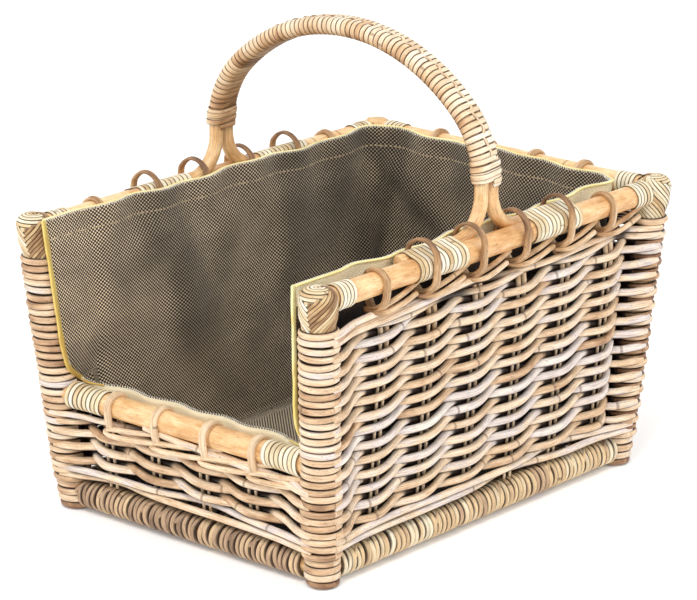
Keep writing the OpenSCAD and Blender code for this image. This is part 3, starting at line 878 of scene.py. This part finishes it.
def make_corner(name, sx, sy):
    """A laced cap on a core, and the turns that bind the rails beside it."""
    bundle = Bundle()
    count = 40
    u = around(count) * CAP_R
    levels = [*np.linspace(-29, 10, 6), *np.linspace(11, 33, 9)]
    rings = np.array([cap_point(sx, sy, u, np.full(count, v))[0] for v in levels])
    i, k = np.meshgrid(np.arange(len(rings)) * 4.0, np.arange(count) * 3.0, indexing="ij")
    shape = rings.shape[:2]
    # The core under the lacing is painted partly in shade, with a light value of 0.6
    bundle.skin(rings, np.stack([i, k, rings[..., 2]], -1), np.full(shape, 0.4), np.full(shape, 0.6))
    lace(bundle, sx, sy)
    for way in [(0, -sy)] if sy < 0 else [(0, -sy), (-sx, 0)]:
        along = np.array([*way, 0.0])
        across = np.array([along[1], -along[0], 0.0])
        for i in range(5):
            centre = post_at(sx, sy, rail_z) + along * (21 + 5.6 * i)
            ring_strip(bundle, centre, across, along, rail_r + 1.0 + (0.5 if i < 2 else 0), 2.6, 2.2)
    bundle.build(f"corner_binding_{name}_strips", "flat_cane", f"corner_binding_{name}")


def make_front_rail_binding(name, sx):
    bundle = Bundle()
    along = -sx * X
    for i in range(8):
        centre = post_at(sx, -1, front_z) + along * (25 + 6.6 * i + rng.normal(0, 0.2))
        ring_strip(bundle, centre, Y, along, rail_r + 0.9 + 1.3 * smooth(1 - i / 4), 3.1, 1.5)
    bundle.build(f"front_rail_binding_{name}_strips", "flat_cane", f"front_rail_binding_{name}")


def hull_outline(t, count=40):
    """Points and normals round the rail and the handle leg on it, in x and z."""
    centres = np.array([[rail_x, rail_z], [leg_x, leg_z]])
    radii = np.array([rail_r, HANDLE_R]) + t
    angle = around(count)
    way = np.stack([np.cos(angle), np.sin(angle)], -1)
    pick = np.argmax((centres @ way.T) + radii[:, None], 0)
    return centres[pick] + way * radii[pick][:, None], way


def make_leg_lashing(name, sx):
    bundle = Bundle()
    lo, hi = span(f"leg_lashing_{name}")
    count = 12
    pitch = (hi[1] - lo[1]) / count
    points, way = hull_outline(STRIP + 0.1)
    t = around(len(points))
    for i in range(count):
        y = lo[1] + pitch * (i + 0.5) + rng.normal(0, 0.15) + 1.1 * np.sin(t)
        path = np.stack([sx * points[:, 0], y, points[:, 1]], -1)
        facing = np.stack([sx * way[:, 0], 0 * t, way[:, 1]], -1)
        if sx < 0:
            path, facing = path[::-1], facing[::-1]
        tone = np.clip(0.66 + 0.16 * rng.standard_normal(), 0.25, 1)
        bundle.sweep(path, STRIP, pitch * 0.485, facing=facing, closed=True, tone=tone, **FLAT_SECTION)
    bundle.build(f"leg_lashing_{name}_strips", "flat_cane", f"leg_lashing_{name}")


# ---- Handle ----

SPRING_Z = 395.0  # where the arch's side arcs start
SIDE_ARC_R = 110.0
LEG_BEND_R = 46.0
CANE_Y = 8.4  # how far each cane stands from the handle's middle
arch_rise = arch_z - SPRING_Z
arc_x = leg_x - SIDE_ARC_R
mid_arc_r = (arc_x ** 2 + arch_rise ** 2 - SIDE_ARC_R ** 2) / (2 * (arch_rise - SIDE_ARC_R))
arc_drop = mid_arc_r - arch_rise
side_angle = math.atan(arc_drop / arc_x)
side_length = SIDE_ARC_R * side_angle
arch_length = 2 * (side_length + mid_arc_r * (math.pi / 2 - side_angle))


def arch(p):
    """Place and outward direction on the arch's middle line, p millimetres round it from the right."""
    p = np.asarray(p, float)
    flip = p > arch_length / 2
    q = np.where(flip, arch_length - p, p)
    on_side = q < side_length
    angle = np.where(on_side, q / SIDE_ARC_R, side_angle + (q - side_length) / mid_arc_r)
    c, s = np.cos(angle), np.sin(angle)
    x = np.where(on_side, arc_x + SIDE_ARC_R * c, mid_arc_r * c)
    z = np.where(on_side, SPRING_Z + SIDE_ARC_R * s, SPRING_Z - arc_drop + mid_arc_r * s)
    mirror = np.where(flip, -1, 1)
    zero = np.zeros_like(x)
    return np.stack([mirror * x, zero, z], -1), np.stack([mirror * c, zero, s], -1)


def make_handle_cane(name, sy):
    """One of the handle's two canes: up from the right rail, round the arch and down to the left one."""
    leg = [(leg_x, sy * y, leg_z) for y in np.linspace(leg_reach, CANE_Y + LEG_BEND_R + 4, 16)]
    leg += [(leg_x, sy * (CANE_Y + LEG_BEND_R * (1 - math.sin(a))), leg_z + LEG_BEND_R * (1 - math.cos(a)))
            for a in np.radians(np.linspace(0, 90, 14))]
    middle_line, _ = arch(np.linspace(4, arch_length - 4, 110))
    middle_line[:, 1] = sy * CANE_Y
    right = np.array(leg)
    path = np.vstack([right, middle_line, right[::-1] * [-1, 1, 1]])
    bundle = Bundle()
    bundle.sweep(path, HANDLE_R - 0.1 + wander(distances(path), 220, 0.2), sides=24)
    bundle.build(f"handle_{name}_cane", "handle_cane", f"handle_cane_{name}")


def stadium(w, t):
    """Place and outward direction, each as radial and sideways parts, round the outline that lies t
    outside the two canes. w counts the turns."""
    r = HANDLE_R + t
    flat, bend = CANE_Y, math.pi * r
    knots = np.cumsum([0, flat, bend, 2 * flat, bend, flat])
    q = (np.asarray(w) % 1) * knots[-1]
    angle = np.interp(q, knots, np.pi * np.array([0, 0, 1, 1, 2, 2]))
    side = np.interp(q, knots, CANE_Y * np.array([0, 1, 1, -1, -1, 0]))
    radial_way, side_way = np.cos(angle), np.sin(angle)
    return radial_way * r, side + r * side_way, radial_way, side_way


def wound_strip(bundle, start, stop, pitch, t, half, tone_shift=0.0):
    """Flat cane wound round both handle canes from one place on the arch to another."""
    turns = (stop - start) / pitch
    w = np.arange(0, turns, 1 / 26)
    centre, outward = arch(start + pitch * w)
    radial, sideways, radial_way, side_way = stadium(w, t)
    path = centre + outward * radial[:, None] + Y * sideways[:, None]
    facing = outward * radial_way[:, None] + Y * side_way[:, None]
    # Painted light and shade: the strip is lighter on the arch's outer face and darker on its inner face
    tone = np.clip(0.42 + 0.24 * radial_way + wander(w, 9, 0.2) + tone_shift, 0, 1)
    wobble = 1 + 0.06 * np.sin(w * 2.1 + rng.uniform(0, 6))
    bundle.sweep(path, STRIP + 0.1, half * wobble, sides=12, facing=facing, tone=tone, power=3.2)


HANDLE_PITCH = 6.9  # of the winding over the arch


def make_handle_wraps():
    """The winding over the arch in three pieces, with a strip laced along its top, and the fork bindings."""
    fork = math.radians(13) * SIDE_ARC_R
    joins = [fork, side_length, arch_length - side_length, arch_length - fork]
    for name, start, stop in zip(("right", "top", "left"), joins[:-1], joins[1:]):
        bundle = Bundle()
        wound_strip(bundle, start, stop, HANDLE_PITCH, STRIP + 0.2, 3.35)
        p = np.arange(start + 3, stop - 3, 1.15)
        centre, outward = arch(p)
        lift = HANDLE_R + 1.8 + 0.85 * np.sin(np.pi * p / HANDLE_PITCH)
        path = centre + outward * lift[:, None]
        path[:, 1] += 2.2 * np.sin(np.pi * p / HANDLE_PITCH / 2)
        bundle.sweep(path, 0.6, 2.2, sides=8, facing=outward, tone=0.55, power=3.0)
        bundle.build(f"handle_wrap_{name}_strip", "arch_cane", f"handle_wrap_{name}")
    for name, start, stop, over in (("right", 0, fork, 3), ("left", arch_length - fork, arch_length, 0)):
        bundle = Bundle()
        wound_strip(bundle, start + 1, stop + over, 6.6, STRIP + 1.1, 3.3, 0.1)
        wound_strip(bundle, start + 4, stop - 2, 8.4, STRIP + 2.0, 3.2)
        bundle.build(f"fork_binding_{name}_strips", "arch_cane", f"fork_binding_{name}")


# ---- Liner ----

LINER_T = 2.0
liner_lo, liner_hi = span("liner")
liner_floor, liner_top = liner_lo[2] + LINER_T / 2, liner_hi[2] - 0.5
front_top = front_z + 15
GAP_LOW, GAP_HIGH = 21.0, 31.0  # from the walls' middle to the cloth, at the floor and at the top
CORNER = 26.0  # radius of the cloth's corners
FACING = 24.0  # depth of the pale facing turned over the cloth's outside
# Columns of points across the front or back, round a corner, and along a side
ACROSS, TURNED, DEEP = 60, 8, 84
COLUMNS = 2 * (ACROSS + DEEP + 2 * TURNED)
FLAP = TURNED // 2
RIGHT_END = 2 * (DEEP + TURNED) + ACROSS + FLAP  # the front's first column
LEFT_START = COLUMNS - FLAP  # the first column past the front
OPEN_COLUMNS = [*range(LEFT_START, COLUMNS), *range(RIGHT_END)]
# Places round the liner, slant, width and depth of its deeper creases
TUCKS = ((452, 0.30, 16, 7.0), (520, -1.1, 18, 5.0), (300, 0.12, 22, 3.5),
         (130, -0.15, 24, 3.0), (860, 0.2, 20, 5.0))


def liner_gap(z):
    return GAP_LOW + (GAP_HIGH - GAP_LOW) * (z - liner_floor) / (liner_top - liner_floor)


def outline(z):
    """Points and outward directions round the liner at a height, from the front left corner by the left."""
    x, y = half_w(z) - liner_gap(z), half_d(z) - liner_gap(z)
    points, ways = [], []
    for name, count in (("left", DEEP), ("back", ACROSS), ("right", DEEP), ("front", ACROSS)):
        ends = WALL_ENDS[name]
        if name in ("right", "front"):
            ends = ends[::-1]
        a, b = [np.array([sx * x, sy * y]) for sx, sy in ends]
        way = unit(b - a)
        out = np.array([-way[1], way[0]])
        t = np.linspace(0, 1, count)[:, None]
        points += list(a + way * CORNER + (b - a - 2 * way * CORNER) * t)
        ways += [out] * count
        centre = b - way * CORNER - out * CORNER
        for angle in np.linspace(0, np.pi / 2, TURNED + 2)[1:-1]:
            level = out * math.cos(angle) + way * math.sin(angle)
            points.append(centre + level * CORNER)
            ways.append(level)
    return np.array(points), np.array(ways)


def soft_folds(along, z):
    """How far the cloth stands off its smooth shape: slack folds that die out at the floor."""
    local = np.random.default_rng(5)
    height = (z - liner_floor) / (liner_top - liner_floor)
    total = 0
    for wave, tilt, size in ((260, 0.5, 3.0), (150, -0.8, 2.0), (95, 0.35, 1.3), (60, -0.2, 0.7)):
        total = total + size * np.sin(2 * np.pi * (along + tilt * z) / wave + local.uniform(0, 6.28))
    return total * smooth(height * 2.2) * (1 - 0.55 * smooth((height - 0.8) * 5))


def tucks(along, z):
    """Deeper slanting creases, by the back corners and under the handle."""
    total = 0
    for at, tilt, width, size in TUCKS:
        off = (along - at - tilt * (z - 250)) / width
        total = total - size * np.exp(-off ** 2) * smooth((z - 130) / 80)
    return total


def front_flap(z, sx):
    """Where the front end of a side cloth goes: on past the inner side of its front post."""
    grown = math.sqrt(1 - (1 - min((z - front_top) / 48, 1)) ** 2)
    back = -half_d(z) + liner_gap(z) + CORNER
    front = -half_d(z) - 8
    y = front + (back - front) * np.arange(FLAP) / FLAP
    return grown, np.column_stack([np.full(FLAP, sx * (half_w(z) - 26)), y, np.full(FLAP, z)])


def crease_light(u, z):
    """Painted shade on the cloth's pale threads: how bright they look, dull in its creases and far from its
    front edges.
    """
    fold = soft_folds(u, z) + 1.5 * tucks(u, z)
    away = np.sin(np.pi * np.clip(u / u.max(), 0, 1))
    return (0.5 + 0.5 * smooth((fold + 6) / 9)) * (1 - 0.4 * away)


def liner_ring(z, along):
    """The liner's points at a height."""
    points, ways = outline(z)
    x, y = points.T
    column = np.arange(COLUMNS)
    front = (column > RIGHT_END) & (column < LEFT_START)
    top = np.where(front, smooth((z - front_z + 35) / 35), smooth((z - rail_z + 45) / 45))
    by_side = np.cos(2 * np.pi * (y - side_loops[0]) / SIDE_PITCH)
    by_end = np.cos(2 * np.pi * (x - end_loops[0]) / END_PITCH)
    waves = np.where(np.abs(ways[:, 0]) > 0.7, by_side, by_end)
    fold = (soft_folds(along, z) + tucks(along, z)) * (1 - top)
    flat = points + ways * (fold - 3.4 * top * waves + 2.5 * top)[:, None]
    pull = 13 * smooth((z - front_top + 60) / 60) * (1 - smooth((z - front_top - 10) / 50))
    for sx in (-1, 1):
        corner = np.array([sx * (half_w(z) - liner_gap(z)), liner_gap(z) - half_d(z)])
        near = np.exp(-(np.linalg.norm(points - corner, axis=1) / 30) ** 2)
        flat += near[:, None] * np.array([sx, -1]) * pull
    return np.column_stack([flat, np.full(COLUMNS, z)])


def raised_ring(z, along):
    """The points of the side and back cloths above the front edge, and their places along the cloth."""
    points = liner_ring(z, along)
    lengths = along.copy()
    lengths[LEFT_START:] -= along[-1]
    for sx, root, columns in ((-1, 0, range(LEFT_START, COLUMNS)),
                              (1, RIGHT_END - FLAP - 1, range(RIGHT_END - 1, RIGHT_END - FLAP - 1, -1))):
        columns = list(columns)
        grown, flap = front_flap(z, sx)
        flap[:, 0] += (points[root, 0] - flap[:, 0]) * smooth(np.arange(FLAP) / FLAP)
        points[columns] += (flap - points[columns]) * grown
        lengths[columns] = along[root] + sx * np.abs(points[columns, 1] - points[root, 1])
    points[:, 2] += 1.8 * np.sin(along / 31.0) * smooth((z - rail_z + 30) / 40)
    return points[OPEN_COLUMNS], lengths[OPEN_COLUMNS]


class Cloth:
    """Collects the liner's faces and points, with their places on the cloth and depths below its edge."""

    def __init__(self):
        self.points = []
        self.places = []
        self.faces = []

    def row(self, points, u, v, depth):
        """Adds a row of points and returns their numbers."""
        start = len(self.points)
        self.points += points.tolist()
        self.places += np.column_stack(np.broadcast_arrays(u, v, depth)).tolist()
        return list(range(start, len(self.points)))

    def join(self, *rows):
        """Four-sided faces with a corner from each of four rows."""
        self.faces += zip(*rows)


def rolled(row):
    return row[1:] + row[:1]


def weave_cloth():
    """The liner's sheet, and its top edge, front edge and the upright edges at the left and right."""
    base, _ = outline(liner_floor)
    along = distances(base)
    column = np.arange(COLUMNS)
    edge_z = np.where((column >= RIGHT_END) & (column < LEFT_START), front_top, liner_top)
    cloth = Cloth()
    below = None
    for z in np.linspace(liner_floor, front_top, 20):
        row = cloth.row(liner_ring(z, along), along, z, edge_z - z)
        if below:
            cloth.join(below, rolled(below), rolled(row), row)
        below = row
    front_edge = [cloth.points[i] for i in below[RIGHT_END:LEFT_START]]
    below = [below[i] for i in OPEN_COLUMNS]
    left_edge, right_edge = [], []
    for z in np.linspace(front_top, liner_top, 34)[1:]:
        points, lengths = raised_ring(z, along)
        row = cloth.row(points, lengths, z, liner_top - z)
        cloth.join(below[:-1], below[1:], row[1:], row[:-1])
        left_edge.append(cloth.points[row[0]])
        right_edge.append(cloth.points[row[-1]])
        below = row
    top_edge = [cloth.points[i] for i in below]
    rim = list(range(COLUMNS))
    x, y, _ = np.array(cloth.points[:COLUMNS]).T
    height = liner_floor + 0.4 * np.sin(x * 0.05) * np.sin(y * 0.06)
    for scale in (0.9, 0.75, 0.55, 0.3):
        row = cloth.row(np.column_stack([x * scale, y * scale, height]), x * scale, y * scale, 999.0)
        cloth.join(rim, row, rolled(row), rolled(rim))
        rim = row
    cloth.faces.append(tuple(rim[::-1]))
    return cloth, top_edge, front_edge, left_edge, right_edge


def make_liner():
    cloth, top_edge, front_edge, left_edge, right_edge = weave_cloth()
    places = np.array(cloth.places)
    mesh = bpy.data.meshes.new("liner_sheet")
    mesh.from_pydata([tuple(c / MM for c in v) for v in cloth.points], [], cloth.faces)
    paint(mesh, "cloth", places)
    paint(mesh, "lit", crease_light(places[:, 0], places[:, 1]))
    piece = place("liner_sheet", mesh, "liner_cloth", ("liner",))
    mesh.materials.append(MATERIALS["liner_reverse"])
    mesh.materials.append(MATERIALS["liner_outside_shaded"])
    mesh.polygons.foreach_set("use_smooth", np.ones(len(mesh.polygons), bool))
    shell = piece.modifiers.new("thickness", "SOLIDIFY")
    shell.thickness = LINER_T / MM
    shell.offset = 0
    shell.material_offset = 1
    apply_modifiers(piece)
    below = np.zeros(len(piece.data.vertices) * 3)
    piece.data.attributes["cloth"].data.foreach_get("vector", below)
    below = below.reshape(-1, 3)[:, 2]
    # Outer faces deep below the edge take the third material, the cloth with painted shade behind the weave
    for face in piece.data.polygons:
        if face.material_index and below[list(face.vertices)].max() > FACING:
            face.material_index = 2
    hems = make_hems(front_edge[-7:] + left_edge, front_edge[6::-1] + right_edge)
    fold = make_fold(top_edge)
    stitching = make_edging(top_edge, front_edge, left_edge[2:], right_edge[2:])


def apply_modifiers(piece):
    ready = piece.evaluated_get(bpy.context.evaluated_depsgraph_get())
    mesh = bpy.data.meshes.new_from_object(ready)
    piece.modifiers.clear()
    piece.data = mesh


def along_edge(edge, step):
    """A smooth line through every third point of an edge, and its last."""
    return curve_through(np.vstack([np.array(edge)[:-1:3], edge[-1]]), step)


def make_hems(left, right):
    """The light strips folded over the front edges of the side cloths, and on round the front corners."""
    made = []
    for name, edge, tone in (("left", left, 0.25), ("right", right, 0.6)):
        path = along_edge(edge, 4)
        path[:, 1] -= 1.5
        bundle = Bundle()
        s = np.linspace(0, 240, len(path))
        grown = 0.45 + 0.55 * smooth(s / 60)
        bundle.sweep(path, (3.1 + wander(s, 60, 0.5)) * grown, 2.0 * grown, sides=12, facing=-Y,
                     tone=tone + 0.35 * smooth((s - 60) / 150), power=2.6)
        made.append(bundle.build(f"liner_hem_{name}_strip", "hem_cloth", f"liner_hem_{name}"))
    return made


def make_fold(edge):
    """The rolled top edge of the facing turned over the liner."""
    path = along_edge(edge, 6)
    tangent = unit(np.gradient(path, axis=0))
    outwards = unit(np.cross(tangent, Z)) * [1, 1, 0]
    middle_line = path + outwards * np.sign((outwards * path).sum(1))[:, None] * 2.6 + 0.6 * Z
    bundle = Bundle()
    bundle.sweep(middle_line, 1.4, sides=10, tone=0.9)
    return bundle.build("liner_facing_fold", "hem_cloth")


def make_edging(*edges):
    """Overcast stitching round the liner's edges."""
    bundle = Bundle()
    pitch, r = 3.4, 1.5
    for edge in edges:
        line = along_edge(edge, 0.45)
        s = distances(line)
        even = np.arange(0, s[-1], pitch / 7)
        line = np.column_stack([np.interp(even, s, line[:, i]) for i in range(3)])
        tangent = unit(np.gradient(line, axis=0))
        side = carried(tangent)
        turn = 2 * np.pi * even / pitch
        path = line + side * (r * np.cos(turn))[:, None]
        path = path + np.cross(tangent, side) * (r * np.sin(turn))[:, None]
        bundle.sweep(path, 0.42, sides=5)
    return bundle.build("liner_edge_stitching", "thread")


# ---- Camera, floor and light ----

LOOKED_AT = Vector((0, 0, 0.2))
# Name, place, size and power
LAMPS = (("key", (1.2, -2.2, 3.2), 1.0, 55), ("fill", (-2.8, -1.6, 1.8), 1.8, 15),
         ("rim", (2.6, 1.6, 2.2), 1.6, 15))


def aim(thing, at, way):
    """Puts a camera or lamp in the scene, facing a way."""
    thing.location = at
    thing.rotation_mode = "QUATERNION"
    thing.rotation_quaternion = way.to_track_quat("-Z", "Y")
    bpy.context.scene.collection.objects.link(thing)


def make_stage():
    azimuth, elevation, distance = math.radians(41.11), math.radians(17.60), 4.1373
    back = Vector((math.sin(azimuth) * math.cos(elevation), -math.cos(azimuth) * math.cos(elevation),
                   math.sin(elevation)))
    camera = bpy.data.objects.new("camera", bpy.data.cameras.new("camera"))
    aim(camera, LOOKED_AT + back * distance, -back)
    camera.data.sensor_width = 36
    camera.data.lens = 187
    camera.data.shift_x = -0.0018
    camera.data.shift_y = 0.0262
    camera.data.clip_end = 100
    bpy.context.scene.camera = camera

    mesh = bpy.data.meshes.new("ground")
    corners = [(-9, -9, 0), (9, -9, 0), (9, 9, 0), (-9, 9, 0)]
    mesh.from_pydata(corners, [], [(0, 1, 2, 3)])
    ground = bpy.data.objects.new("ground", mesh)
    bpy.context.scene.collection.objects.link(ground)
    look = Nodes("ground")
    for socket, value in (("Base Color", (0.97, 0.97, 0.97, 1)), ("Roughness", 0.8),
                          ("Emission Color", (1, 1, 1, 1)), ("Emission Strength", 0.12)):
        look.set(look.shader.inputs[socket], value)
    mesh.materials.append(look.material)

    world = bpy.data.worlds.new("studio")
    bpy.context.scene.world = world
    world.use_nodes = True
    world.node_tree.nodes["Background"].inputs[0].default_value = (1, 1, 1, 1)
    world.node_tree.nodes["Background"].inputs[1].default_value = 1.0
    for name, at, size, power in LAMPS:
        light = bpy.data.objects.new(name, bpy.data.lights.new(name, "AREA"))
        light.data.size = size
        light.data.energy = power
        aim(light, at, LOOKED_AT - Vector(at))
    bpy.context.scene.view_settings.view_transform = "Standard"


make_stage()
make_poles()
for wall in WALLS:
    make_weave(wall)
    make_stakes(wall)
make_floor()
for name, (sx, sy) in CORNERS.items():
    make_post_wrap(name, sx, sy)
    make_corner(name, sx, sy)
    make_leg_lashing(name, sx)
for name, (a, b) in WALL_ENDS.items():
    make_base_wrap(name, a, b)
for name, sx in (("left", -1), ("right", 1)):
    make_front_rail_binding(name, sx)
for name, sy in (("front", -1), ("back", 1)):
    make_handle_cane(name, sy)
make_handle_wraps()
make_liner()

bpy.context.view_layer.update()
